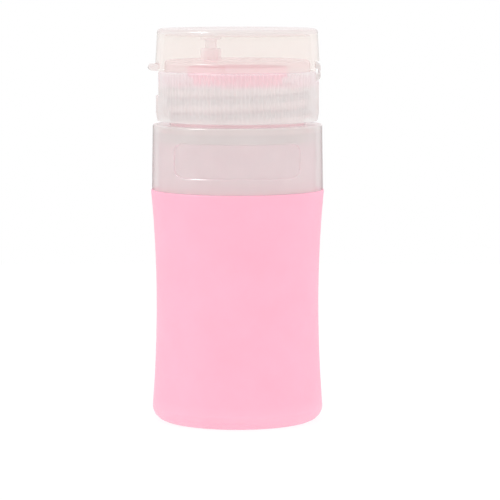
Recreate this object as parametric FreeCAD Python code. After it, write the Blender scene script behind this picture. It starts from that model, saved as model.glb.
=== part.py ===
"""Travel squeeze bottle: a waisted silicone body, a collar that clamps its lip, and a flip-top screw cap.

Millimetres, +Z up, origin at the centre of the base. The hinge of the lid is on +X, its thumb tab
on -X, and the recessed label panel of the collar faces -Y. Heights stack up from the base, and the
radii of collar, neck, cap and lid follow, wall by wall, from the base of the silicone body.
"""

import FreeCAD
import Part
import math
import os
from collections import namedtuple
from FreeCAD import Vector

# Silicone squeeze body
body_height = 49.1
base_radius = 18.1
waist_depth = 0.9
waist_height = 25.5
shoulder_flare = 0.2
body_wall = 2.0
floor_thickness = 2.2
base_edge_radius = 3.0
shoulder_edge_radius = 0.2
floor_edge_radius = 3.0
base_dish_depth = 0.8
base_ring_width = 3.6
shoulder_slope_depth = 3.6
lip_thickness = 1.95

# Outer collar with its label panel
collar_height = 13.8
collar_inset = 0.2
collar_taper = 0.2
collar_wall = 1.6
collar_flange_thickness = 1.6
collar_edge_radius = 0.35
panel_width = 26.3
panel_height = 7.6
panel_corner_radius = 2.0
panel_depth = 0.35

# Neck insert that carries the cap
neck_step = 0.35
neck_wall = 1.7
insert_flange_thickness = 2.0
sleeve_length = 8.0
sleeve_lead = 1.0
barb_count = 3
barb_height = 0.3
barb_length_share = 0.65
snap_bead_height = 0.3
snap_bead_width = 0.9

# Screw cap
cap_gap = 0.7
cap_height = 10.4
cap_wall = 1.5
cap_shoulder_thickness = 1.1
cap_foot_height = 1.7
cap_foot_inset = 0.3
cap_rim_chamfer = 0.25
rib_count = 120
rib_depth = 0.25
rib_crest_share = 0.35
rib_root_share = 0.25
thumb_notch_height = 5.1
thumb_notch_share = 0.4
deck_rise = 2.4
deck_thickness = 1.4
deck_edge_radius = 0.8

# Spout on the deck
spout_offset = 5.6
spout_wall = 0.7
spout_height = 2.4
spout_edge_radius = 0.35

# Silicone drip valve and neck gasket inside the cap
valve_inset = 1.9
valve_well_radius = 2.6
valve_membrane = 0.5
slit_length = 3.4
slit_width = 0.25
gasket_thickness = 1.7
gasket_overhang = 0.4
gasket_lap = 0.6

# Flip lid
parting_gap = 0.2
lid_overhang = 0.2
lid_taper = 0.5
lid_headroom = 2.9
lid_wall = 1.5
lid_roof_thickness = 1.3
lid_edge_radius = 0.7
lid_inner_edge_radius = 0.5
tab_reach = 1.5
tab_thickness = 1.45
tab_plan_radius = 7.0
tab_round_share = 0.47
pin_radius = 1.2
pin_tip_share = 0.75
pin_engagement = 1.2
pin_boss_radius = 2.2
pin_boss_height = 1.0

# Film hinge between cap and lid
hinge_notch_share = 0.64
strap_height = 3.5
strap_room = 0.3
strap_radius = 0.72
strap_thickness = 0.35
strap_leg = 0.3
strap_film_height = 1.1
strap_width = 8.0

# Clearances
fit_clearance = 0.05
flange_clearance = 0.3
thread_clearance = 1.6
land_clearance = 0.5
plug_clearance = 0.5
pin_clearance = 0.3
overrun = 1.0

# Heights, from the base up
floor_top = base_dish_depth + floor_thickness
collar_top = body_height + collar_height
insert_flange_top = collar_top - collar_flange_thickness
lip_top = insert_flange_top - insert_flange_thickness
sleeve_bottom = lip_top - sleeve_length
barb_pitch = (sleeve_length - sleeve_lead) / barb_count
cap_bottom = collar_top + cap_gap
cap_top = cap_bottom + cap_height
deck_underside = cap_top - cap_shoulder_thickness
neck_top = deck_underside - gasket_thickness
deck_top = cap_top + deck_rise
valve_top = deck_top - deck_thickness
spout_top = deck_top + spout_height
lid_bottom = cap_top + parting_gap
lid_roof = spout_top + lid_headroom
lid_top = lid_roof + lid_roof_thickness

# Radii, from the base up to the shoulder, inwards to the neck and outwards again to the lid
dish_radius = base_radius - base_edge_radius - base_ring_width
waist_radius = base_radius - waist_depth
shoulder_radius = base_radius + shoulder_flare
collar_radius = shoulder_radius - collar_inset
collar_bore_radius = collar_radius - collar_wall
lip_outer_radius = collar_bore_radius - fit_clearance
lip_inner_radius = lip_outer_radius - lip_thickness
sleeve_radius = lip_inner_radius - fit_clearance
neck_radius = sleeve_radius - neck_step
neck_bore_radius = neck_radius - neck_wall
valve_radius = neck_bore_radius - valve_inset
gasket_bore_radius = valve_radius - gasket_lap
cap_bore_radius = neck_radius + thread_clearance
cap_radius = cap_bore_radius + cap_wall
thumb_flat = cap_radius - thumb_notch_share * cap_wall
spout_bore_radius = pin_radius + pin_clearance
lid_radius = cap_radius + lid_overhang
lid_bore_radius = lid_radius - lid_wall
land_radius = lid_bore_radius - land_clearance
hinge_flat = lid_radius - hinge_notch_share * lid_wall

# Hinge axis, which runs along Y in the middle of the film
strap_centre_x = hinge_flat + strap_leg
hinge_x = strap_centre_x + strap_radius - strap_thickness / 2
hinge_z = cap_top + parting_gap / 2

Arc = namedtuple("Arc", "through end")


def at(radius, height):
    """A point of a profile in the XZ plane."""
    return Vector(radius, 0, height)


def arc_about(centre, start, end):
    """The shorter arc from start to end about a centre."""
    reach = (start - centre).Length
    bisector = (start - centre).normalize() + (end - centre).normalize()
    return Arc(centre + bisector.normalize() * reach, end)


def face_of(outline):
    """A flat face bounded by an outline of points and arcs, closed back to its first point."""
    edges = []
    here = outline[0]
    for step in outline[1:] + outline[:1]:
        if isinstance(step, Arc):
            edges.append(Part.Arc(here, step.through, step.end).toShape())
            here = step.end
        else:
            edges.append(Part.makeLine(here, step))
            here = step
    return Part.Face(Part.Wire(edges))


def turned(outline):
    """A solid of revolution about the Z axis."""
    return face_of(outline).revolve(Vector(0, 0, 0), Vector(0, 0, 1), 360)


def block(x_low, x_high, y_low, y_high, z_low, z_high):
    """A box between two corners."""
    return Part.makeBox(x_high - x_low, y_high - y_low, z_high - z_low, Vector(x_low, y_low, z_low))


def upright(radius, x, z_low, z_high):
    """An upright cylinder on the XZ plane."""
    return Part.makeCylinder(radius, z_high - z_low, Vector(x, 0, z_low))


def save(node, shape):
    """Writes one piece, which has to be a single valid solid."""
    solids = shape.removeSplitter().Solids
    if len(solids) != 1 or not solids[0].isValid():
        raise ValueError(f"{node} is {len(solids)} solids, or its solid isn't valid")
    solids[0].exportStep(os.path.join("parts", node + ".step"))
    print(f"{node}: {solids[0].Volume:.1f} mm3, {len(solids[0].Faces)} faces")


def waist_arc_radius(edge_radius, rounding, rounding_height):
    """Radius of the waist arc that runs smoothly into the rounding of the edge above or below it."""
    inset = waist_radius - (edge_radius - rounding)
    reach = waist_height - rounding_height
    return (inset**2 + reach**2 - rounding**2) / (2 * (edge_radius - waist_radius))


def along(start, target, distance):
    """The point at a distance from start on the way to a target."""
    return start + (target - start).normalize() * distance


def inside_wall(centre, arc_radius, height):
    """The point of an arc about a centre, on its side towards the bottle's axis, at a height."""
    return at(centre.x - math.sqrt(arc_radius**2 - (height - centre.z) ** 2), height)


def sleeve_outline(clearance):
    """The barbed outside of the insert's sleeve, from its lead-in up to the flange."""
    radius = sleeve_radius + clearance
    points = []
    for barb in range(barb_count):
        foot = sleeve_bottom + sleeve_lead + barb * barb_pitch
        head = foot + barb_length_share * barb_pitch
        points += [at(radius, foot), at(radius + barb_height, head), at(radius, head)]
    return points + [at(radius, lip_top)]


def snap_bead(clearance):
    """The three corners of the snap bead between collar and insert, from the top down."""
    middle = insert_flange_top - insert_flange_thickness / 2
    half = snap_bead_width / 2 + clearance
    radius = collar_bore_radius - clearance
    return [at(radius, middle + half), at(radius - snap_bead_height, middle), at(radius, middle - half)]


def silicone_body():
    """Waisted squeeze body with a dished base, one even wall and a lip that the collar clamps."""
    waist = at(waist_radius, waist_height)
    inner_waist = at(waist_radius - body_wall, waist_height)

    foot_centre = at(base_radius - base_edge_radius, base_edge_radius)
    low_arc = waist_arc_radius(base_radius, base_edge_radius, foot_centre.z)
    low_centre = at(waist_radius + low_arc, waist_height)
    foot_end = along(low_centre, foot_centre, low_arc)

    head_centre = at(shoulder_radius - shoulder_edge_radius, body_height - shoulder_edge_radius)
    high_arc = waist_arc_radius(shoulder_radius, shoulder_edge_radius, head_centre.z)
    high_centre = at(waist_radius + high_arc, waist_height)
    head_start = along(high_centre, head_centre, high_arc)

    slope_foot = inside_wall(high_centre, high_arc + body_wall, body_height - shoulder_slope_depth)
    slope_head = at(lip_inner_radius, slope_foot.z + slope_foot.x - lip_inner_radius)
    floor_centre = inside_wall(
        low_centre, low_arc + body_wall + floor_edge_radius, floor_top + floor_edge_radius
    )
    floor_start = along(low_centre, floor_centre, low_arc + body_wall)

    outside = [
        at(0, base_dish_depth),
        at(dish_radius - base_dish_depth, base_dish_depth),
        at(dish_radius, 0),
        at(foot_centre.x, 0),
        arc_about(foot_centre, at(foot_centre.x, 0), foot_end),
        arc_about(low_centre, foot_end, waist),
        arc_about(high_centre, waist, head_start),
        arc_about(head_centre, head_start, at(head_centre.x, body_height)),
        at(lip_outer_radius, body_height),
        at(lip_outer_radius, lip_top),
    ]
    inside = [
        slope_head,
        slope_foot,
        arc_about(high_centre, slope_foot, inner_waist),
        arc_about(low_centre, inner_waist, floor_start),
        arc_about(floor_centre, floor_start, at(floor_centre.x, floor_top)),
        at(0, floor_top),
    ]
    return turned(outside + sleeve_outline(fit_clearance)[::-1] + inside)


def outer_collar():
    """Clamping ring with a top flange, a snap bead inside and a shallow label panel on the front."""
    top_radius = collar_radius - collar_taper
    edge_centre = at(top_radius - collar_edge_radius, collar_top - collar_edge_radius)
    edge_start = at(top_radius, edge_centre.z)
    flange_bore = neck_radius + flange_clearance
    ring = turned([
        at(collar_bore_radius, body_height),
        at(collar_radius, body_height),
        edge_start,
        arc_about(edge_centre, edge_start, at(edge_centre.x, collar_top)),
        at(flange_bore, collar_top),
        at(flange_bore, insert_flange_top),
        at(collar_bore_radius, insert_flange_top),
    ] + snap_bead(0))
    return ring.cut(label_panel(top_radius))


def label_panel(top_radius):
    """What the collar's rounded label panel leaves out, with one depth all round the curve."""
    middle = body_height + collar_height / 2
    plate = block(
        -panel_width / 2, panel_width / 2, -collar_radius - overrun, 0,
        middle - panel_height / 2, middle + panel_height / 2,
    )
    corners = [edge for edge in plate.Edges if edge.BoundBox.YLength > collar_radius]
    plate = plate.makeFillet(panel_corner_radius, corners)
    core = turned([
        at(0, body_height),
        at(collar_radius - panel_depth, body_height),
        at(top_radius - panel_depth, collar_top),
        at(0, collar_top),
    ])
    return plate.cut(core)


def neck_insert():
    """Barbed sleeve, clamped flange and neck under the cap, with one bore all through."""
    flange_radius = collar_bore_radius - fit_clearance
    lead_in = [
        at(neck_bore_radius, sleeve_bottom),
        at(sleeve_radius - barb_height, sleeve_bottom),
    ]
    neck = [
        at(flange_radius, insert_flange_top),
        at(neck_radius, insert_flange_top),
        at(neck_radius, neck_top),
        at(neck_bore_radius, neck_top),
    ]
    flange = [at(flange_radius, lip_top)] + snap_bead(fit_clearance)[::-1]
    return turned(lead_in + sleeve_outline(0) + flange + neck)


def neck_gasket():
    """Flat silicone ring between the rim of the neck and the underside of the cap."""
    radius = neck_radius + gasket_overhang
    return turned([
        at(gasket_bore_radius, neck_top),
        at(radius, neck_top),
        at(radius, deck_underside),
        at(gasket_bore_radius, deck_underside),
    ])


def drip_valve():
    """Silicone disc under the deck and plug in the gasket, with a thin cross-slit membrane below the spout."""
    well_top = valve_top - valve_membrane
    plug_radius = gasket_bore_radius - plug_clearance
    disc = upright(valve_radius, 0, deck_underside, valve_top)
    disc = disc.fuse(upright(plug_radius, 0, neck_top, deck_underside))
    disc = disc.cut(upright(valve_well_radius, -spout_offset, neck_top - overrun, well_top))
    slit = block(
        -slit_length / 2, slit_length / 2, -slit_width / 2, slit_width / 2,
        well_top - overrun, valve_top + overrun,
    )
    cross = slit.rotated(Vector(0, 0, 0), Vector(0, 0, 1), 90)
    return disc.cut(slit.fuse(cross).translated(Vector(-spout_offset, 0, 0)))


def ribbed_prism():
    """The cap's ribbed plan outline, drawn up past both ends of the cap."""
    flank_share = (1 - rib_crest_share - rib_root_share) / 2
    root_radius = cap_radius - rib_depth
    corners = [
        (0, cap_radius),
        (rib_crest_share, cap_radius),
        (rib_crest_share + flank_share, root_radius),
        (1 - flank_share, root_radius),
    ]
    points = []
    for rib in range(rib_count):
        for turn_share, radius in corners:
            angle = 2 * math.pi * (rib + turn_share) / rib_count
            across = Vector(math.cos(angle), math.sin(angle), 0)
            points.append(across * radius + at(0, cap_bottom - overrun))
    plan = Part.Face(Part.makePolygon(points + points[:1]))
    return plan.extrude(at(0, deck_top - cap_bottom + 2 * overrun))


def hinge_notch(z_low, z_high):
    """The flat cut that one half of the hinge sits against."""
    return block(hinge_flat, lid_radius + overrun, -lid_radius, lid_radius, z_low, z_high)


def screw_cap():
    """Ribbed cap with a raised deck, a spout, a thumb notch and the lower half of the hinge notch."""
    land_centre = at(land_radius - deck_edge_radius, deck_top - deck_edge_radius)
    land_start = at(land_radius, land_centre.z)
    pocket_radius = valve_radius + fit_clearance
    shell = turned([
        at(cap_bore_radius, cap_bottom),
        at(cap_radius - cap_foot_inset, cap_bottom),
        at(cap_radius, cap_bottom + cap_foot_height),
        at(cap_radius, cap_top - cap_rim_chamfer),
        at(cap_radius - cap_rim_chamfer, cap_top),
        at(land_radius, cap_top),
        land_start,
        arc_about(land_centre, land_start, at(land_centre.x, deck_top)),
        at(0, deck_top),
        at(0, valve_top),
        at(pocket_radius, valve_top),
        at(pocket_radius, deck_underside),
        at(cap_bore_radius, deck_underside),
    ])
    thumb_notch = block(
        -cap_radius - overrun, -thumb_flat, -cap_radius, cap_radius,
        cap_top - thumb_notch_height, cap_top + overrun,
    )
    cap = shell.common(ribbed_prism()).cut(thumb_notch)
    cap = cap.cut(hinge_notch(hinge_z - strap_height / 2 - strap_room, cap_top + overrun))
    bore = upright(spout_bore_radius, -spout_offset, valve_top - overrun, spout_top + overrun)
    return cap.fuse(spout()).cut(bore)


def spout():
    """Short round nozzle with a softened mouth, standing on the deck."""
    nozzle = upright(spout_bore_radius + spout_wall, -spout_offset, valve_top, spout_top)
    mouth = [edge for edge in nozzle.Edges if edge.BoundBox.ZMin > deck_top]
    return nozzle.makeFillet(spout_edge_radius, mouth)


def thumb_tab():
    """Round-nosed lifting lip, a disc whose inner part disappears in the lid's wall."""
    centre_x = tab_plan_radius - lid_radius - tab_reach
    disc = upright(tab_plan_radius, centre_x, lid_bottom, lid_bottom + tab_thickness)
    rims = [edge for edge in disc.Edges if edge.BoundBox.ZLength < tab_thickness / 2]
    return disc.makeFillet(tab_round_share * tab_thickness, rims)


def sealing_pin():
    """Pin with a boss under the lid's roof, which closes the bore of the spout."""
    pin_end = spout_top - pin_engagement
    boss_end = lid_roof - pin_boss_height
    tip_radius = pin_radius * pin_tip_share
    pin = turned([
        at(0, pin_end),
        at(tip_radius, pin_end),
        at(pin_radius, pin_end + pin_radius - tip_radius),
        at(pin_radius, boss_end),
        at(pin_boss_radius, boss_end),
        at(pin_boss_radius, lid_roof),
        at(0, lid_roof),
    ])
    return pin.translated(Vector(-spout_offset, 0, 0))


def flip_lid():
    """Tapered cup with a thumb tab, a sealing pin and the upper half of the hinge notch."""
    top_radius = lid_radius - lid_taper
    edge_centre = at(top_radius - lid_edge_radius, lid_top - lid_edge_radius)
    edge_start = at(top_radius, edge_centre.z)
    cup = turned([
        at(0, lid_bottom),
        at(lid_radius, lid_bottom),
        edge_start,
        arc_about(edge_centre, edge_start, at(edge_centre.x, lid_top)),
        at(0, lid_top),
    ])
    corner_radius = lid_bore_radius - lid_taper
    corner_centre = at(corner_radius - lid_inner_edge_radius, lid_roof - lid_inner_edge_radius)
    corner_start = at(corner_radius, corner_centre.z)
    hollow = turned([
        at(0, lid_bottom - overrun),
        at(lid_bore_radius, lid_bottom - overrun),
        at(lid_bore_radius, lid_bottom),
        corner_start,
        arc_about(corner_centre, corner_start, at(corner_centre.x, lid_roof)),
        at(0, lid_roof),
    ])
    lid = cup.fuse(thumb_tab()).cut(hollow).fuse(sealing_pin())
    return lid.cut(hinge_notch(lid_bottom - overrun, hinge_z + strap_height / 2 + strap_room))


def hinge_strap():
    """Film between a round-backed land on the flat of the cap and one on the flat of the lid."""
    reach = strap_height / 2 - strap_radius
    low = at(strap_centre_x, hinge_z - reach)
    high = at(strap_centre_x, hinge_z + reach)
    outwards, upwards = at(strap_radius, 0), at(0, strap_radius)
    film_inside = strap_centre_x + strap_radius - strap_thickness
    film_low, film_high = hinge_z - strap_film_height / 2, hinge_z + strap_film_height / 2
    section = face_of([
        at(hinge_flat, low.z - strap_radius),
        low - upwards,
        arc_about(low, low - upwards, low + outwards),
        high + outwards,
        arc_about(high, high + outwards, high + upwards),
        at(hinge_flat, high.z + strap_radius),
        at(hinge_flat, film_high),
        at(film_inside, film_high),
        at(film_inside, film_low),
        at(hinge_flat, film_low),
    ])
    return section.translated(Vector(0, -strap_width / 2, 0)).extrude(Vector(0, strap_width, 0))


def main():
    os.makedirs("parts", exist_ok=True)
    pieces = (
        silicone_body, outer_collar, neck_insert, neck_gasket,
        drip_valve, screw_cap, flip_lid, hinge_strap,
    )
    for piece in pieces:
        save(piece.__name__, piece())
    print(f"hinge axis along Y at x {hinge_x:.3f}, z {hinge_z:.3f}")


main()
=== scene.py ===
"""Looks of a travel squeeze bottle: pink silicone body, translucent collar and flip-top cap."""

import math

import bpy
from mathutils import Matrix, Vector


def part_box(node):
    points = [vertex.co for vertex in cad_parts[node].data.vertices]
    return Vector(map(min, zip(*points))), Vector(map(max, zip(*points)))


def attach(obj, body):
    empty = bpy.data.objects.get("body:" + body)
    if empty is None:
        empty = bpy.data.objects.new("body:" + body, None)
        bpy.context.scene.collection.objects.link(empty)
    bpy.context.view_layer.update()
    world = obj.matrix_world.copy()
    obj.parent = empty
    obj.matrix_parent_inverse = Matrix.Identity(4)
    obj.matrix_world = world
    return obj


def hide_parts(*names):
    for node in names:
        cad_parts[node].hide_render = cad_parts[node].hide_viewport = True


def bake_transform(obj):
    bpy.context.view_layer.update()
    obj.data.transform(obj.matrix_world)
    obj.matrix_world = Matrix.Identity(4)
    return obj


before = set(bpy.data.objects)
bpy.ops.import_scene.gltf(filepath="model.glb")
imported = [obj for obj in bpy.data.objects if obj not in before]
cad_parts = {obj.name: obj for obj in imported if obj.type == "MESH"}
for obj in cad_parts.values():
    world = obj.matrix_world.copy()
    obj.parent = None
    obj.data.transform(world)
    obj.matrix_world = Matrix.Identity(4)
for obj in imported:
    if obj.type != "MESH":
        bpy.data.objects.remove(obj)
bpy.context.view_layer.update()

MM = 0.001
UP = Vector((0, 0, 1))

# How finely round things are drawn
round_steps = 144
corner_steps = 5
side_steps = 12
fine_edge = 0.15 * MM
overrun = 1.0 * MM
weld_distance = 0.001 * MM
smooth_angle = math.radians(32)

# Corners of the frame's nodes, which give the heights and the outer radii
body_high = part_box("silicone_body")[1]
collar_low, collar_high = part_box("outer_collar")
insert_low, insert_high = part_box("neck_insert")
gasket_low, gasket_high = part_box("neck_gasket")
valve_low, valve_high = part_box("drip_valve")
cap_low, cap_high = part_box("screw_cap")
lid_low, lid_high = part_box("flip_lid")
strap_low, strap_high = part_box("hinge_strap")

# Silicone body
body_top = collar_low.z
shoulder_radius = body_high.x
shoulder_flare = 0.2 * MM
base_radius = shoulder_radius - shoulder_flare
waist_radius = base_radius - 0.9 * MM
waist_height = 25.5 * MM
body_wall = 2.0 * MM
base_edge_radius = 3.0 * MM
base_rounding = 0.96 * base_edge_radius
base_dish_depth = 0.8 * MM
base_ring_width = 3.6 * MM
floor_top = 3.0 * MM
floor_edge_radius = 3.0 * MM
floor_rounding = 0.9 * floor_edge_radius
shoulder_edge_radius = 0.2 * MM
shoulder_rounding = 0.96 * shoulder_edge_radius
shoulder_slope = 3.6 * MM
lip_thickness = 1.95 * MM
lip_edge_radius = 0.3 * MM
lip_clearance = 0.05 * MM

# Collar and its label panel
collar_radius = collar_high.x
collar_taper = 0.2 * MM
collar_bore = 16.5 * MM
collar_flange = 1.6 * MM
collar_neck_clearance = 0.3 * MM
collar_edge_radius = 0.35 * MM
collar_foot_edge = 0.05 * MM
panel_width = 26.3 * MM
panel_height = 7.6 * MM
panel_corner_radius = 2.0 * MM
panel_depth = 0.35 * MM
panel_bead_radius = 0.3 * MM
panel_bead_sink = 0.03 * MM

# Neck insert and the thread that it shares with the cap
insert_radius = insert_high.x
insert_flange = 2.0 * MM
sleeve_radius = 14.45 * MM
neck_radius = 14.1 * MM
neck_bore = 12.4 * MM
thread_pitch = 3.2 * MM
thread_turns = 1.75
thread_depth = 0.9 * MM
thread_root_width = 2.0 * MM
thread_crest_width = 0.5 * MM
thread_sink = 0.15 * MM
neck_thread_start = 64.6 * MM
cap_thread_lead = 0.43

# Screw cap, with the depths of the steps across one grip rib and the groove beside it
cap_radius = cap_high.x
cap_bore = 15.7 * MM
cap_top = 74.0 * MM
cap_foot_height = 1.7 * MM
cap_foot_inset = 0.3 * MM
rib_count = 120
rib_profile = (0, 0.5, 1, 1, 1, 1, 1, 0.5)
rib_steps = len(rib_profile)
rib_depth = 0.12 * MM
# How much painted shade darkens the grooves between the grip ribs
rib_shade = 0.045
deck_top = 76.4 * MM
deck_edge_radius = 0.8 * MM
land_radius = 15.4 * MM
thumb_flat = cap_radius - 0.6 * MM
thumb_notch_height = 5.1 * MM
spout_x = -5.6 * MM
spout_axis = Vector((spout_x, 0))
spout_radius = 2.2 * MM
spout_bore = 1.5 * MM
spout_top = cap_high.z

# Drip valve in its pocket, and the gasket round its plug
pocket_clearance = 0.05 * MM
slit_length = 3.4 * MM
slit_width = 0.25 * MM
valve_well_radius = 2.6 * MM
valve_membrane = 0.5 * MM
valve_plug_radius = 9.4 * MM
gasket_bore = 9.9 * MM

# Flip lid
lid_radius = 17.4 * MM
lid_taper = 0.5 * MM
lid_wall = 1.5 * MM
lid_roof = 81.7 * MM
lid_edge_radius = 0.7 * MM
tab_plan_radius = 7.0 * MM
tab_thickness = 1.45 * MM
tab_rounding = 0.48 * tab_thickness
pin_radius = 1.2 * MM
pin_tip_radius = 0.9 * MM
pin_end = 77.6 * MM
pin_boss_radius = 2.2 * MM
pin_boss_height = 1.0 * MM

# Film hinge
hinge_flat = strap_low.x
hinge_z = (strap_low.z + strap_high.z) / 2
hinge_room = 0.3 * MM
strap_radius = 0.72 * MM
strap_thickness = 0.35 * MM
strap_leg = 0.3 * MM
strap_groove_depth = 0.1 * MM
strap_groove_height = 0.5 * MM
strap_web_height = 1.1 * MM
strap_steps = 12

# Where the middle of a noise starts and ends, and how much the gloss of the plastic varies
noise_middle = 0.3, 0.7
haze_drift = 0.03

# Room, floor and lamps
room_strength = 0.955
side_gain = 0.3
flag_level = 0.05
flag_from, flag_to, flag_end = 0.1, 0.4, 0.55
flag_heights = -0.04, 0.02
flag_depths = 0.5, 0.3
paper_size = 600 * MM
paper_level = 0.97
paper_glow = 1.04
paper_glow_share = 0.82
lamp_aim = Vector((0, 0, 40 * MM))

# Camera
lens_distance = 592.7 * MM
lens_height = 98.0 * MM
lens_beside = 2.65 * MM
lens_aim_height = 36.07 * MM
lens_length = 202.0
lens_sensor = 36


def deselect():
    """Leaves nothing selected, so that an operator acts on the new piece alone."""
    if bpy.context.mode != "OBJECT":
        bpy.ops.object.mode_set(mode="OBJECT")
    bpy.ops.object.select_all(action="DESELECT")


def pick(piece, test, kind="VERT"):
    """Selects the vertices of a piece whose place passes a test, or its faces by their middles.

    It stays in edit mode.
    """
    bpy.ops.object.mode_set(mode="EDIT")
    bpy.ops.mesh.select_mode(type=kind)
    bpy.ops.mesh.select_all(action="DESELECT")
    bpy.ops.object.mode_set(mode="OBJECT")
    if kind == "VERT":
        for vertex in piece.data.vertices:
            vertex.select = test(vertex.co)
    else:
        for face in piece.data.polygons:
            face.select = test(face.center)
    bpy.ops.object.mode_set(mode="EDIT")


def softened(corners):
    """Points of an outline from (radius, height, rounding) corners. Each rounding is an arc."""
    points = []
    for place, (radius, height, rounding) in enumerate(corners):
        here = Vector((radius, height))
        if not rounding:
            points.append(here)
            continue
        back = (Vector(corners[place - 1][:2]) - here).normalized()
        ahead = (Vector(corners[(place + 1) % len(corners)][:2]) - here).normalized()
        half = back.angle(ahead) / 2
        centre = here + (back + ahead).normalized() * rounding / math.sin(half)
        start = here + back * rounding / math.tan(half) - centre
        end = here + ahead * rounding / math.tan(half) - centre
        for step in range(corner_steps + 1):
            points.append(centre + start.lerp(end, step / corner_steps).normalized() * rounding)
    return points


def drawn(name, points, closed=True):
    """Draws an outline point by point, in the XZ plane or in space.

    It stays in edit mode, with all of the outline selected.
    """
    deselect()
    points = [point if len(point) == 3 else Vector((point.x, 0, point.y)) for point in points]
    bpy.ops.mesh.primitive_plane_add(size=MM)
    piece = bpy.context.object
    piece.name = name
    bpy.ops.object.mode_set(mode="EDIT")
    bpy.ops.mesh.select_mode(type="VERT")
    bpy.ops.mesh.merge(type="CENTER")
    bpy.ops.transform.translate(value=points[0])
    for here, there in zip(points, points[1:]):
        bpy.ops.mesh.extrude_vertices_move(TRANSFORM_OT_translate={"value": there - here})
    if closed:
        ends = points[0], points[-1]
        pick(piece, lambda place: min((place - end).length for end in ends) < weld_distance)
        bpy.ops.mesh.edge_face_add()
    bpy.ops.mesh.select_all(action="SELECT")
    return piece


def finished():
    """Welds the piece in edit mode, turns its faces outwards and goes back to object mode."""
    bpy.ops.mesh.select_all(action="SELECT")
    bpy.ops.mesh.remove_doubles(threshold=weld_distance)
    bpy.ops.mesh.dissolve_degenerate(threshold=weld_distance)
    bpy.ops.mesh.delete_loose()
    bpy.ops.mesh.select_all(action="SELECT")
    bpy.ops.mesh.normals_make_consistent(inside=False)
    bpy.ops.object.mode_set(mode="OBJECT")


def spun(name, corners, x=0.0, steps=round_steps):
    """Spins an outline about an upright axis. One that starts and ends there stays open."""
    closed = corners[0][0] > 0 or corners[-1][0] > 0
    piece = drawn(name, softened(corners), closed=closed)
    bpy.ops.mesh.spin(steps=steps, angle=math.tau, center=(0, 0, 0), axis=(0, 0, 1))
    finished()
    if x:
        bpy.ops.object.mode_set(mode="EDIT")
        bpy.ops.mesh.select_all(action="SELECT")
        bpy.ops.transform.translate(value=(x, 0, 0))
        bpy.ops.object.mode_set(mode="OBJECT")
    return piece


def block(low, high):
    """A box between two corners, for cutting."""
    deselect()
    low, high = Vector(low), Vector(high)
    bpy.ops.mesh.primitive_cube_add(size=1, location=(low + high) / 2, scale=high - low)
    bpy.ops.object.transform_apply(location=True, rotation=True, scale=True)
    return bpy.context.object


def rod(radius, x, low, high):
    """An upright round bar between two heights, for cutting."""
    deselect()
    bpy.ops.mesh.primitive_cylinder_add(
        vertices=round_steps, radius=radius, depth=high - low, location=(x, 0, (low + high) / 2)
    )
    bpy.ops.object.transform_apply(location=True, rotation=True, scale=True)
    return bpy.context.object


def combine(piece, tool, operation):
    """Adds a tool to a piece or cuts it out, and throws the tool away."""
    deselect()
    bpy.context.view_layer.objects.active = piece
    piece.select_set(True)
    modifier = piece.modifiers.new(operation.lower(), "BOOLEAN")
    modifier.operation = operation
    modifier.solver = "EXACT"
    modifier.object = tool
    bpy.ops.object.modifier_apply(modifier=modifier.name)
    bpy.data.objects.remove(tool)
    return piece


def cut(piece, tool):
    """Cuts a tool out of a piece."""
    return combine(piece, tool, "DIFFERENCE")


def add(piece, tool):
    """Adds a tool to a piece."""
    return combine(piece, tool, "UNION")


def dress(piece, look, node):
    """Welds a piece after its cuts, smooths it and gives it its look and the node it stands for."""
    deselect()
    bpy.context.view_layer.objects.active = piece
    piece.select_set(True)
    bpy.ops.object.mode_set(mode="EDIT")
    finished()
    bpy.ops.object.shade_smooth_by_angle(angle=smooth_angle)
    piece.data.materials.clear()
    piece.data.materials.append(look.material)
    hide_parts(node)
    return piece


def paint(piece, look, test):
    """Gives the faces of a piece whose middle passes a test another look."""
    name = look.material.name
    if name not in piece.data.materials:
        piece.data.materials.append(look.material)
    pick(piece, test, kind="FACE")
    piece.active_material_index = piece.data.materials.find(name)
    bpy.ops.object.material_slot_assign()
    bpy.ops.object.mode_set(mode="OBJECT")


def waist_curve(edge_radius, edge_height, wall):
    """Corners of the waisted side, from the waist to an edge, at a depth under the skin."""
    drop = edge_height - waist_height
    rise = edge_radius - waist_radius
    bend = (rise**2 + drop**2) / (2 * rise)
    corners = []
    for step in range(side_steps + 1):
        along = drop * step / side_steps
        radius = waist_radius + bend - math.sqrt((bend + wall) ** 2 - along**2)
        corners.append((radius, waist_height + along, 0))
    return corners


def silicone_body(look):
    """Hollow waisted body with a rounded base, a dished underside and a lip inside the collar."""
    dish_radius = base_radius - base_edge_radius - base_ring_width
    lip_outer = collar_bore - lip_clearance
    lip_inner = lip_outer - lip_thickness
    slope_foot = body_top - shoulder_slope
    low_side = waist_curve(base_radius, base_edge_radius, 0)[::-1]
    high_side = waist_curve(shoulder_radius, body_top - shoulder_edge_radius, 0)
    high_inside = waist_curve(shoulder_radius, slope_foot, body_wall)[::-1]
    low_inside = waist_curve(base_radius, floor_top + floor_edge_radius, body_wall)
    corners = [
        (0, base_dish_depth, 0),
        (dish_radius - base_dish_depth, base_dish_depth, 2 * fine_edge),
        (dish_radius, 0, 2 * fine_edge),
        (base_radius, 0, base_rounding),
    ]
    corners += low_side[:-1] + high_side
    corners += [
        (shoulder_radius, body_top, shoulder_rounding),
        (lip_outer, body_top, 0),
        (lip_outer, body_high.z, lip_edge_radius),
        (lip_inner, body_high.z, 0),
        (lip_inner, slope_foot + high_inside[0][0] - lip_inner, 0),
    ]
    corners += high_inside[:-1] + low_inside
    corners += [(low_inside[-1][0], floor_top, floor_rounding), (0, floor_top, 0)]
    body = spun("silicone_shell", corners)
    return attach(dress(body, look, "silicone_body"), "bottle")


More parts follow.
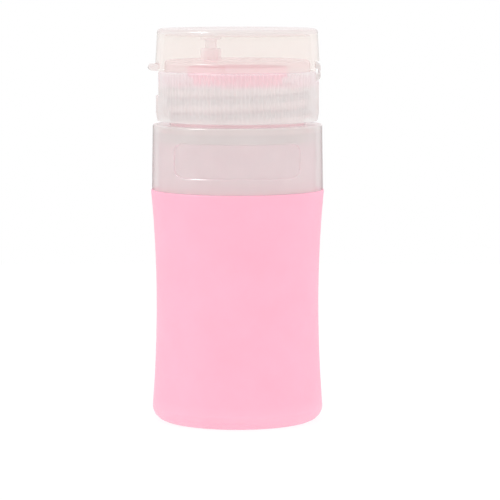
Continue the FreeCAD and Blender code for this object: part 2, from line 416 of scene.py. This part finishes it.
def outer_collar(look):
    """Clamping ring with a rounded top edge and a shallow label panel on the front."""
    flange_bore = neck_radius + collar_neck_clearance
    top_radius = collar_radius - collar_taper
    collar = spun("collar_ring", [
        (collar_bore, body_top, 0),
        (collar_radius, body_top, collar_foot_edge),
        (top_radius, collar_high.z, collar_edge_radius),
        (flange_bore, collar_high.z, fine_edge),
        (flange_bore, collar_high.z - collar_flange, 0),
        (collar_bore, collar_high.z - collar_flange, 0),
    ])
    middle = (body_top + collar_high.z) / 2
    cut(collar, label_panel(middle, top_radius))
    add(collar, panel_bead(middle, top_radius))
    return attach(dress(collar, look, "outer_collar"), "bottle")


def label_panel(middle, top_radius):
    """What the label panel takes out of the collar: a rounded block down to the panel's floor."""
    panel = block(
        (-panel_width / 2, -collar_radius - overrun, middle - panel_height / 2),
        (panel_width / 2, 0, middle + panel_height / 2),
    )
    mesh = panel.data
    for edge in mesh.edges:
        ends = [mesh.vertices[index].co for index in edge.vertices]
        edge.select = abs(ends[0].y - ends[1].y) > collar_radius
    for thing in list(mesh.vertices) + list(mesh.polygons):
        thing.select = False
    bpy.ops.object.mode_set(mode="EDIT")
    bpy.ops.mesh.select_mode(type="EDGE")
    bpy.ops.mesh.bevel(offset=panel_corner_radius, segments=2 * corner_steps, affect="EDGES")
    bpy.ops.object.mode_set(mode="OBJECT")
    core = spun("panel_floor", [
        (0, body_top - overrun, 0),
        (collar_radius - panel_depth, body_top - overrun, 0),
        (top_radius - panel_depth, collar_high.z + overrun, 0),
        (0, collar_high.z + overrun, 0),
    ])
    return cut(panel, core)


def panel_bead(middle, top_radius):
    """The rounded inner lip of the label panel, which follows the collar's curve."""
    half_width, half_height = panel_width / 2, panel_height / 2
    reach = half_width - panel_corner_radius
    along = [reach * (step / side_steps - 1) for step in range(1, 2 * side_steps)]
    corners = []
    for way in (1, -1):
        corners.append((-way * half_width, -way * half_height, panel_corner_radius))
        corners += [(way * x, -way * half_height, 0) for x in along]
        corners.append((way * half_width, -way * half_height, panel_corner_radius))
    points = []
    for place in softened(corners):
        share = (middle + place.y - body_top) / (collar_high.z - body_top)
        surface = collar_radius + (top_radius - collar_radius) * share
        radius = surface - panel_bead_radius - panel_bead_sink
        points.append(Vector((place.x, -math.sqrt(radius**2 - place.x**2), middle + place.y)))
    bead = drawn("panel_bead", points)
    bpy.ops.object.mode_set(mode="OBJECT")
    bpy.ops.object.convert(target="CURVE")
    bead.data.bevel_depth = panel_bead_radius
    bead.data.bevel_resolution = corner_steps
    bpy.ops.object.convert(target="MESH")
    bpy.ops.object.mode_set(mode="EDIT")
    finished()
    return bead


def thread_ridge(name, root_radius, crest_radius, height, lead=0.0):
    """A right-hand screw ridge, sunk a little into its wall.

    It is at the given height beside the hinge, and its lead, in turns, lies below that.
    """
    outwards = 1 if crest_radius > root_radius else -1
    root = root_radius - outwards * thread_sink
    turns = lead + thread_turns
    start = Vector((math.cos(math.tau * lead), -math.sin(math.tau * lead), 0))
    foot = Vector((0, 0, height - lead * thread_pitch))
    ridge = drawn(name, [
        foot + start * root - UP * thread_root_width / 2,
        foot + start * crest_radius - UP * thread_crest_width / 2,
        foot + start * crest_radius + UP * thread_crest_width / 2,
        foot + start * root + UP * thread_root_width / 2,
    ])
    bpy.ops.object.mode_set(mode="OBJECT")
    screw = ridge.modifiers.new("screw", "SCREW")
    screw.axis = "Z"
    screw.angle = math.tau * turns
    screw.screw_offset = thread_pitch * turns
    screw.steps = screw.render_steps = int(round_steps * turns)
    bpy.ops.object.modifier_apply(modifier=screw.name)
    bpy.ops.object.mode_set(mode="EDIT")
    bpy.ops.mesh.select_all(action="SELECT")
    bpy.ops.mesh.fill_holes(sides=4)
    finished()
    return ridge


def neck_insert(look):
    """Sleeve, clamped flange and threaded neck, with one bore all through."""
    flange_top = collar_high.z - collar_flange
    flange_low = flange_top - insert_flange
    insert = spun("threaded_neck", [
        (neck_bore, insert_low.z, fine_edge),
        (sleeve_radius, insert_low.z, fine_edge),
        (sleeve_radius, flange_low, 0),
        (insert_radius, flange_low, fine_edge),
        (insert_radius, flange_top, fine_edge),
        (neck_radius, flange_top, 0),
        (neck_radius, insert_high.z, 2 * fine_edge),
        (neck_bore, insert_high.z, 2 * fine_edge),
    ])
    crest_radius = neck_radius + thread_depth
    add(insert, thread_ridge("neck_thread", neck_radius, crest_radius, neck_thread_start))
    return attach(dress(insert, look, "neck_insert"), "bottle")


def neck_gasket(look):
    """Flat seal ring on the rim of the neck."""
    gasket = spun("seal_ring", [
        (gasket_bore, gasket_low.z, 2 * fine_edge),
        (gasket_high.x, gasket_low.z, 2 * fine_edge),
        (gasket_high.x, gasket_high.z, 2 * fine_edge),
        (gasket_bore, gasket_high.z, 2 * fine_edge),
    ])
    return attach(dress(gasket, look, "neck_gasket"), "gasket")


def drip_valve(look):
    """Disc under the deck and plug in the gasket, with a cross-slit membrane below the spout."""
    valve = spun("drip_disc", [
        (0, valve_low.z, 0),
        (valve_plug_radius, valve_low.z, 2 * fine_edge),
        (valve_plug_radius, gasket_high.z, 0),
        (valve_high.x, gasket_high.z, fine_edge),
        (valve_high.x, valve_high.z, fine_edge),
        (0, valve_high.z, 0),
    ])
    well_top = valve_high.z - valve_membrane
    cut(valve, rod(valve_well_radius, spout_x, valve_low.z - overrun, well_top))
    for long_x, long_y in ((slit_length, slit_width), (slit_width, slit_length)):
        cut(valve, block(
            (spout_x - long_x / 2, -long_y / 2, valve_low.z - overrun),
            (spout_x + long_x / 2, long_y / 2, valve_high.z + overrun),
        ))
    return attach(dress(valve, look, "drip_valve"), "cap")


def carve_ribs(cap):
    """Draws the grooves between the grip ribs in towards the axis. They run out along the foot."""
    outside = cap_radius - cap_foot_inset - fine_edge
    foot = cap_low.z + 2 * fine_edge
    for depth_share in sorted(set(rib_profile) - {0}):

        def on_rib(place):
            turn = math.atan2(place.y, place.x) / math.tau
            step = round(turn * rib_count * rib_steps) % rib_steps
            ribbed = place.xy.length > outside and place.z > foot
            return ribbed and rib_profile[step] == depth_share

        pick(cap, on_rib)
        shrink = 1 - rib_depth * depth_share / cap_radius
        bpy.ops.transform.resize(value=(shrink, shrink, 1), center_override=(0, 0, 0))
        bpy.ops.object.mode_set(mode="OBJECT")


def screw_cap(look, deck, spout, seat, ridge):
    """Ribbed cap with a raised deck, a spout, a thumb notch and the hinge notch's lower half."""
    pocket_radius = valve_high.x + pocket_clearance
    cap = spun("ribbed_cap", [
        (cap_bore, cap_low.z, fine_edge),
        (cap_radius - cap_foot_inset, cap_low.z, fine_edge),
        (cap_radius, cap_low.z + cap_foot_height, 0),
        (cap_radius, cap_top, fine_edge),
        (land_radius, cap_top, fine_edge),
        (land_radius, deck_top, deck_edge_radius),
        (0, deck_top, 0),
        (0, valve_high.z, 0),
        (pocket_radius, valve_high.z, 0),
        (pocket_radius, gasket_high.z, 0),
        (cap_bore, gasket_high.z, fine_edge),
        (cap_bore, gasket_low.z - fine_edge, 0),
    ], steps=rib_count * rib_steps)
    carve_ribs(cap)
    crest_radius = cap_bore - thread_depth
    thread_start = neck_thread_start + thread_pitch / 2
    add(cap, thread_ridge("cap_thread", cap_bore, crest_radius, thread_start, cap_thread_lead))
    cut(cap, block(
        (-cap_radius - overrun, -cap_radius, cap_top - thumb_notch_height),
        (-thumb_flat, cap_radius, cap_top + overrun),
    ))
    cut(cap, block(
        (hinge_flat, -cap_radius, strap_low.z - hinge_room),
        (cap_radius + overrun, cap_radius, cap_top + overrun),
    ))
    nozzle = spun("spout", [
        (0, valve_high.z + fine_edge, 0),
        (spout_radius, valve_high.z + fine_edge, 0),
        (spout_radius, spout_top, 2 * fine_edge),
        (0, spout_top, 0),
    ], x=spout_x)
    add(cap, nozzle)
    cut(cap, rod(spout_bore, spout_x, valve_high.z - overrun, spout_top + overrun))
    dress(cap, look, "screw_cap")

    def on_deck(place):
        return place.xy.length < land_radius + 2 * fine_edge and place.z > cap_top - fine_edge

    def on_spout(place):
        beside_axis = (place.xy - spout_axis).length < spout_radius + fine_edge
        return beside_axis and place.z > deck_top + fine_edge

    def on_thread(place):
        return place.xy.length < cap_bore - fine_edge and place.z < gasket_low.z - fine_edge

    def round_seal(place):
        on_bore = abs(place.xy.length - cap_bore) < 2 * fine_edge
        return on_bore and place.z > gasket_low.z - 2 * fine_edge

    paint(cap, deck, on_deck)
    paint(cap, spout, on_spout)
    # The thread ridges get a darker, denser plastic: partly their thicker plastic, partly painted
    # shade
    paint(cap, ridge, on_thread)
    paint(cap, seat, round_seal)
    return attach(cap, "cap")


def flip_lid(look, inner, thick, clear):
    """Tapered cup with a thumb tab, a sealing pin and the hinge notch's upper half."""
    bore = lid_radius - lid_wall
    rim_low = lid_roof + 2 * fine_edge
    rim_share = (rim_low - lid_low.z) / (lid_high.z - lid_low.z)
    lid = spun("lid_cup", [
        (0, lid_high.z, 0),
        (lid_radius - lid_taper, lid_high.z, lid_edge_radius),
        (lid_radius - lid_taper * rim_share, rim_low, 0),
        (lid_radius, lid_low.z, fine_edge),
        (bore, lid_low.z, fine_edge),
        (bore - lid_taper, lid_roof, 3 * fine_edge),
        (0, lid_roof, 0),
    ])
    tab_axis = Vector((lid_low.x + tab_plan_radius, 0))
    tab_top = lid_low.z + tab_thickness
    tab = spun("thumb_tab", [
        (0, lid_low.z, 0),
        (tab_plan_radius, lid_low.z, tab_rounding),
        (tab_plan_radius, tab_top, tab_rounding),
        (0, tab_top, 0),
    ], x=tab_axis.x)
    cut(tab, rod(bore + lid_wall / 3, 0, lid_low.z - overrun, lid_high.z))
    add(lid, tab)
    pin = spun("sealing_pin", [
        (0, pin_end, 0),
        (pin_tip_radius, pin_end, fine_edge),
        (pin_radius, pin_end + pin_radius - pin_tip_radius, 0),
        (pin_radius, lid_roof - pin_boss_height, fine_edge),
        (pin_boss_radius, lid_roof - pin_boss_height, fine_edge),
        (pin_boss_radius, lid_roof + fine_edge, 0),
        (0, lid_roof + fine_edge, 0),
    ], x=spout_x)
    add(lid, pin)
    cut(lid, block(
        (hinge_flat, -lid_radius, lid_low.z - overrun),
        (lid_radius + overrun, lid_radius, strap_high.z + hinge_room),
    ))
    dress(lid, look, "flip_lid")

    def inside(place):
        return place.xy.length < bore + fine_edge and place.z < lid_roof

    def on_tab(place):
        beside_wall = place.xy.length > lid_radius - fine_edge
        on_plan = (place.xy - tab_axis).length < tab_plan_radius + fine_edge
        return beside_wall and on_plan and place.z < tab_top + fine_edge

    def on_roof(place):
        return place.z > lid_roof - fine_edge

    def on_pin(place):
        beside_axis = (place.xy - spout_axis).length < pin_boss_radius + fine_edge
        return beside_axis and place.z < lid_roof

    paint(lid, inner, inside)
    paint(lid, thick, on_tab)
    paint(lid, thick, on_roof)
    paint(lid, clear, on_pin)
    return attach(lid, "lid")


def hinge_strap(look):
    """Film between a land on the cap's flat and one on the lid's, grooved where it folds."""
    reach = (strap_high.z - strap_low.z) / 2 - strap_radius
    bend_x = hinge_flat + strap_leg

    outside = [Vector((hinge_flat, hinge_z - reach - strap_radius))]
    for step in range(strap_steps + 1):
        angle = math.pi / 2 * (step / strap_steps - 1)
        across, rise = strap_radius * math.cos(angle), strap_radius * math.sin(angle)
        outside.append(Vector((bend_x + across, hinge_z - reach + rise)))
    for step in range(1, 2 * strap_steps):
        rise = reach * (step / strap_steps - 1)
        dip = strap_groove_depth * max(0, 1 - abs(rise) / (strap_groove_height / 2))
        outside.append(Vector((bend_x + strap_radius - dip, hinge_z + rise)))
    lower = outside[strap_steps + 1::-1]
    outside += [Vector((point.x, 2 * hinge_z - point.y)) for point in lower]
    inside = [Vector((hinge_flat, hinge_z - strap_web_height / 2))]
    for step in range(strap_steps + 1):
        rise = strap_web_height * (step / strap_steps - 0.5)
        inside.append(Vector((bend_x + strap_radius - strap_thickness, hinge_z + rise)))
    inside.append(Vector((hinge_flat, hinge_z + strap_web_height / 2)))

    strap = drawn("film_hinge", outside + inside[::-1])
    width = strap_high.y - strap_low.y
    bpy.ops.transform.translate(value=(0, strap_low.y, 0))
    bpy.ops.mesh.edge_face_add()
    bpy.ops.mesh.extrude_region_move(TRANSFORM_OT_translate={"value": (0, width, 0)})
    finished()
    dress(strap, look, "hinge_strap")
    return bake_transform(strap)


class Graph:
    """The nodes of a material or of the surroundings, and short ways to add and join them."""

    def __init__(self, tree, space):
        self.tree = tree
        self.space = space

    def node(self, kind, **inputs):
        """A new node, with the values of some of its inputs."""
        node = self.tree.nodes.new(kind)
        for name, value in inputs.items():
            node.inputs[name.replace("_", " ").title()].default_value = value
        return node

    def join(self, source, target):
        """Joins the output of one node to the input of another."""
        self.tree.links.new(source, target)

    def feed(self, term, target):
        """Sets an input to a number, or joins the output of another node to it."""
        if isinstance(term, (int, float)):
            target.default_value = term
        else:
            self.join(term, target)

    def place(self):
        """The place on the piece, in metres, or the direction out into the surroundings."""
        return self.node("ShaderNodeTexCoord").outputs[self.space]

    def axes(self):
        """X, Y and Z of that place or direction."""
        axes = self.node("ShaderNodeSeparateXYZ")
        self.join(self.place(), axes.inputs["Vector"])
        return axes.outputs

    def sum(self, operation, *terms):
        """A sum over numbers and the values of other nodes."""
        sum_node = self.node("ShaderNodeMath")
        sum_node.operation = operation
        for term, target in zip(terms, sum_node.inputs):
            self.feed(term, target)
        return sum_node.outputs["Value"]

    def ramp(self, source, start, end, low=0.0, high=1.0, kind="LINEAR"):
        """A value that runs from low to high while another runs from its start to its end."""
        ramp = self.node(
            "ShaderNodeMapRange", from_min=start, from_max=end, to_min=low, to_max=high
        )
        ramp.interpolation_type = kind
        self.join(source, ramp.inputs["Value"])
        return ramp.outputs["Result"]

    def mix(self, share, first, second):
        """A shader between two others."""
        mix = self.node("ShaderNodeMixShader")
        self.feed(share, mix.inputs["Fac"])
        self.join(first, mix.inputs[1])
        self.join(second, mix.inputs[2])
        return mix.outputs["Shader"]


class Shader(Graph):
    """A material that lies on the piece's own place."""

    def __init__(self, name):
        self.material = bpy.data.materials.new(name)
        self.material.use_nodes = True
        super().__init__(self.material.node_tree, "Object")
        self.surface = self.tree.nodes["Principled BSDF"]

    def settle(self, values):
        """Sets plain values of the surface."""
        for name, value in values.items():
            self.surface.inputs[name].default_value = value

    def noise(self, scale, detail):
        """Noise with a scale per metre."""
        noise = self.node("ShaderNodeTexNoise", scale=scale, detail=detail)
        self.join(self.place(), noise.inputs["Vector"])
        return noise.outputs["Fac"]

    def tint(self, source, low, high):
        """A colour that runs between two tints over the middle of a value."""
        ramp = self.node("ShaderNodeValToRGB")
        for stop, place, tint in zip(ramp.color_ramp.elements, noise_middle, (low, high)):
            stop.position = place
            stop.color = (*tint, 1)
        self.join(source, ramp.inputs["Fac"])
        return ramp.outputs["Color"]

    def skin(self, tints, tint_noise, gloss, gloss_noise):
        """Colours and roughness of the surface, each spread over a noise."""
        self.join(self.tint(tint_noise, *tints), self.surface.inputs["Base Color"])
        rough = self.ramp(gloss_noise, *noise_middle, *gloss)
        self.join(rough, self.surface.inputs["Roughness"])

    def rise(self, start, end):
        """A value that runs smoothly from 0 at one height of the piece to 1 at another."""
        return self.ramp(self.axes()["Z"], start, end, kind="SMOOTHSTEP")

    def shade(self, amount):
        """Multiplies the base colour by a value or a colour."""
        base = self.surface.inputs["Base Color"]
        product = self.node("ShaderNodeVectorMath")
        product.operation = "MULTIPLY"
        self.join(base.links[0].from_socket, product.inputs[0])
        self.join(amount, product.inputs[1])
        self.join(product.outputs["Vector"], base)

    def bump(self, source, strength, distance):
        """A fine grain on the surface."""
        bump = self.node("ShaderNodeBump", strength=strength, distance=distance)
        self.join(source, bump.inputs["Height"])
        self.join(bump.outputs["Normal"], self.surface.inputs["Normal"])


def blush_silicone(name, low, high):
    """Matte pink silicone: a soft skin with a faint cloudiness and a fine moulded grain."""
    rubber = Shader(name)
    cloud, patches = rubber.noise(scale=140, detail=3), rubber.noise(scale=900, detail=4)
    rubber.skin((low, high), cloud, (0.5, 0.62), patches)
    rubber.settle({
        "IOR": 1.41,
        "Subsurface Weight": 0.2,
        "Subsurface Radius": (1.0, 0.45, 0.55),
        "Subsurface Scale": 1.0 * MM,
    })
    rubber.bump(rubber.noise(scale=5200, detail=2), strength=0.12, distance=0.05 * MM)
    return rubber


def natural_plastic(name, tint, drift, veil, haze, depth=0.3):
    """Uncoloured translucent plastic: a milky veil with a satin skin and faint flow marks.

    Its tint drifts by a little, the veil is how much it hides, the haze is how rough its skin is,
    and the depth is how much light goes about inside it.
    """
    wall = Shader(name)
    tints = tint, [level + drift for level in tint]
    flow, patches = wall.noise(scale=160, detail=2), wall.noise(scale=420, detail=3)
    wall.skin(tints, flow, (haze - haze_drift, haze + haze_drift), patches)
    wall.settle({
        "IOR": 1.49,
        "Alpha": veil,
        "Subsurface Weight": depth,
        "Subsurface Radius": (1.0, 0.95, 0.92),
        "Subsurface Scale": 1.2 * MM,
    })
    wall.bump(wall.noise(scale=1600, detail=2), strength=0.06, distance=0.05 * MM)
    return wall


def rib_tone(wall):
    """Darkens the grooves between the grip ribs: painted shade in the grooves, together with the
    thinner wall there that lets the inside show.
    """
    across, along, _ = wall.axes()
    squares = wall.sum("POWER", across, 2), wall.sum("POWER", along, 2)
    radius = wall.sum("SQRT", wall.sum("ADD", *squares))
    outer = wall.sum("GREATER_THAN", radius, cap_radius - cap_foot_inset - 2 * rib_depth)
    ribbed = wall.sum("MULTIPLY", outer, wall.rise(cap_low.z, cap_low.z + cap_foot_height))
    turn = wall.sum("MULTIPLY", wall.sum("ARCTAN2", along, across), rib_count)
    groove = wall.sum("MULTIPLY_ADD", wall.sum("COSINE", turn), -0.5, 0.5)
    wall.shade(wall.sum("MULTIPLY_ADD", wall.sum("MULTIPLY", groove, ribbed), -rib_shade, 1))


def height_tone(wall, start, end, tone):
    """Tones a piece from one height to another. On the lid it is where more of the plastic is
    looked through; on the body and the cap it is painted light.
    """
    wall.shade(wall.tint(wall.rise(start, end), (1, 1, 1), tone))


def white_studio():
    """White surroundings, brighter at both sides, with dark flags that only reflections show."""
    world = bpy.data.worlds.new("white_studio")
    world.use_nodes = True
    bpy.context.scene.world = world
    room = Graph(world.node_tree, "Generated")
    light = room.tree.nodes["Background"]
    light.inputs["Strength"].default_value = room_strength
    room.join(side_light(room), light.inputs["Color"])
    seen = room.node("ShaderNodeBackground", color=(1, 1, 1, 1), strength=1.0)
    mirrored = room.node("ShaderNodeBackground")
    room.join(flags(room), mirrored.inputs["Color"])

    rays = room.node("ShaderNodeLightPath").outputs
    straight = room.sum("MAXIMUM", rays["Is Camera Ray"], rays["Is Transmission Ray"])
    plain = room.mix(straight, light.outputs["Background"], seen.outputs["Background"])
    whole = room.mix(rays["Is Glossy Ray"], plain, mirrored.outputs["Background"])
    room.join(whole, room.tree.nodes["World Output"].inputs["Surface"])


def side_light(room):
    """White that grows a little brighter towards both sides."""
    return room.sum("MULTIPLY_ADD", room.sum("POWER", room.axes()["X"], 2), side_gain, 1)


def flags(room):
    """White all round, with two dark flags low behind the bottle that outline its edges."""
    across, behind, height = room.axes()
    ramp = room.node("ShaderNodeValToRGB")
    room.join(room.sum("ABSOLUTE", across), ramp.inputs["Fac"])
    stops = ramp.color_ramp.elements
    for place in (flag_from, flag_to):
        stops.new(place).color = (flag_level, flag_level, flag_level, 1)
    stops[0].color = stops[len(stops) - 1].color = (1, 1, 1, 1)
    stops[len(stops) - 1].position = flag_end
    level = ramp.outputs["Color"]
    for axis, (dark, white) in ((height, flag_heights), (behind, flag_depths)):
        level = room.sum("MAXIMUM", level, room.ramp(axis, dark, white))
    return level


def paper_floor():
    """A pale floor that keeps a faint shadow."""
    deselect()
    bpy.ops.mesh.primitive_plane_add(size=paper_size, location=(0, 0, 0))
    floor = bpy.context.object
    floor.name = "floor"
    paper = Shader("white_paper")
    paper.settle({"Base Color": (paper_level, paper_level, paper_level, 1), "Roughness": 0.9})
    glow = paper.node("ShaderNodeEmission", strength=paper_glow)
    lit = paper.mix(paper_glow_share, paper.surface.outputs["BSDF"], glow.outputs["Emission"])
    paper.join(lit, paper.tree.nodes["Material Output"].inputs["Surface"])
    floor.data.materials.append(paper.material)


def lamp(name, place, size, energy):
    """A square lamp that faces the bottle."""
    light = bpy.data.lights.new(name, "AREA")
    light.size = size
    light.energy = energy
    holder = bpy.data.objects.new(name, light)
    holder.location = place
    holder.rotation_euler = (lamp_aim - holder.location).to_track_quat("-Z", "Y").to_euler()
    bpy.context.collection.objects.link(holder)
    return holder


def camera():
    """A long lens a little above the lid, level across and aimed below the bottle's middle."""
    lens = bpy.data.cameras.new("camera")
    lens.sensor_width = lens_sensor
    lens.lens = lens_length
    view = bpy.data.objects.new("camera", lens)
    view.location = (lens_beside, -lens_distance, lens_height)
    tilt = math.atan2(lens_height - lens_aim_height, lens_distance)
    view.rotation_euler = (math.pi / 2 - tilt, 0, 0)
    bpy.context.collection.objects.link(view)
    bpy.context.scene.camera = view


bpy.context.scene.view_settings.view_transform = "Standard"
camera()
white_studio()
paper_floor()
lamp("soft_box", place=(0, -0.4, 0.9), size=1.0, energy=0.5)
lamp("glint", place=(-0.7, -0.35, 0.67), size=0.3, energy=16).visible_diffuse = False

skin_look = blush_silicone("blush_silicone", low=(0.985, 0.468, 0.598), high=(1.0, 0.488, 0.622))
# The body is painted lighter towards its base: painted light, for the pale floor's light from below
height_tone(skin_look, start=8 * MM, end=0, tone=(1, 1.06, 1.04))
drip_look = blush_silicone("drip_silicone", low=(0.95, 0.18, 0.34), high=(0.97, 0.2, 0.36))
height_tone(drip_look, start=73.0 * MM, end=73.8 * MM, tone=(1, 2.4, 1.65))
height_tone(drip_look, start=74.7 * MM, end=75.0 * MM, tone=(1, 0.7, 0.8))

seal_look = natural_plastic("natural_silicone", (0.88, 0.8, 0.79), drift=0.02, veil=0.15, haze=0.4)
cap_look = natural_plastic("cap_plastic", (0.76, 0.718, 0.702), drift=0.03, veil=0.5, haze=0.35)
# Painted shade in the grooves between the cap's grip ribs
rib_tone(cap_look)
# A painted pink glow round the seals: painted light, for the pink parts' light shining through the
# cap's wall
height_tone(cap_look, start=69.5 * MM, end=72.5 * MM, tone=(1.07, 1.01, 1.04))
deck_look = natural_plastic("deck_plastic", (0.835, 0.695, 0.71), drift=0.02, veil=0.47, haze=0.2)
spout_look = natural_plastic("spout_plastic", (0.8, 0.765, 0.765), drift=0.02, veil=0.47, haze=0.2)
seat_look = natural_plastic("seat_plastic", (0.8, 0.62, 0.64), drift=0.02, veil=0.4, haze=0.2)
collar_look = natural_plastic("collar_plastic", (0.65, 0.615, 0.6), drift=0.03, veil=0.57, haze=0.2)
height_tone(collar_look, start=60.5 * MM, end=62.5 * MM, tone=(1.07, 1.05, 1.05))
neck_look = natural_plastic("neck_plastic", (0.72, 0.53, 0.55), drift=0.03, veil=0.75, haze=0.35)
lid_plastic = {"tint": (0.82, 0.69, 0.6), "drift": 0.02, "haze": 0.16, "depth": 0}
lid_look = natural_plastic("lid_plastic", veil=0.26, **lid_plastic)
height_tone(lid_look, start=79 * MM, end=82.5 * MM, tone=(0.92, 0.92, 0.9))
lid_inside_look = natural_plastic("lid_inside", veil=0.04, **lid_plastic)
# The cap's thread ridges are darker and denser: partly their thicker plastic, partly painted shade
# of the thread, seen through the cap's wall
ridge_look = natural_plastic("ridge_plastic", (0.6, 0.57, 0.57), drift=0.03, veil=0.7, haze=0.35)
strap_look = natural_plastic("strap_plastic", (0.7, 0.65, 0.63), drift=0.03, veil=0.65, haze=0.2)
tab_look = natural_plastic(
    "tab_plastic", (0.8, 0.72, 0.7), drift=0.02, veil=0.7, haze=0.16, depth=0
)

silicone_body(skin_look)
drip_valve(drip_look)
# Light goes on through the milky pieces, so they cast no shadow and don't darken each other
for milky in (
    neck_gasket(seal_look),
    outer_collar(collar_look),
    neck_insert(neck_look),
    screw_cap(cap_look, deck_look, spout_look, seat_look, ridge_look),
    flip_lid(lid_look, lid_inside_look, tab_look, spout_look),
    hinge_strap(strap_look),
):
    milky.visible_shadow = False
    milky.visible_diffuse = False
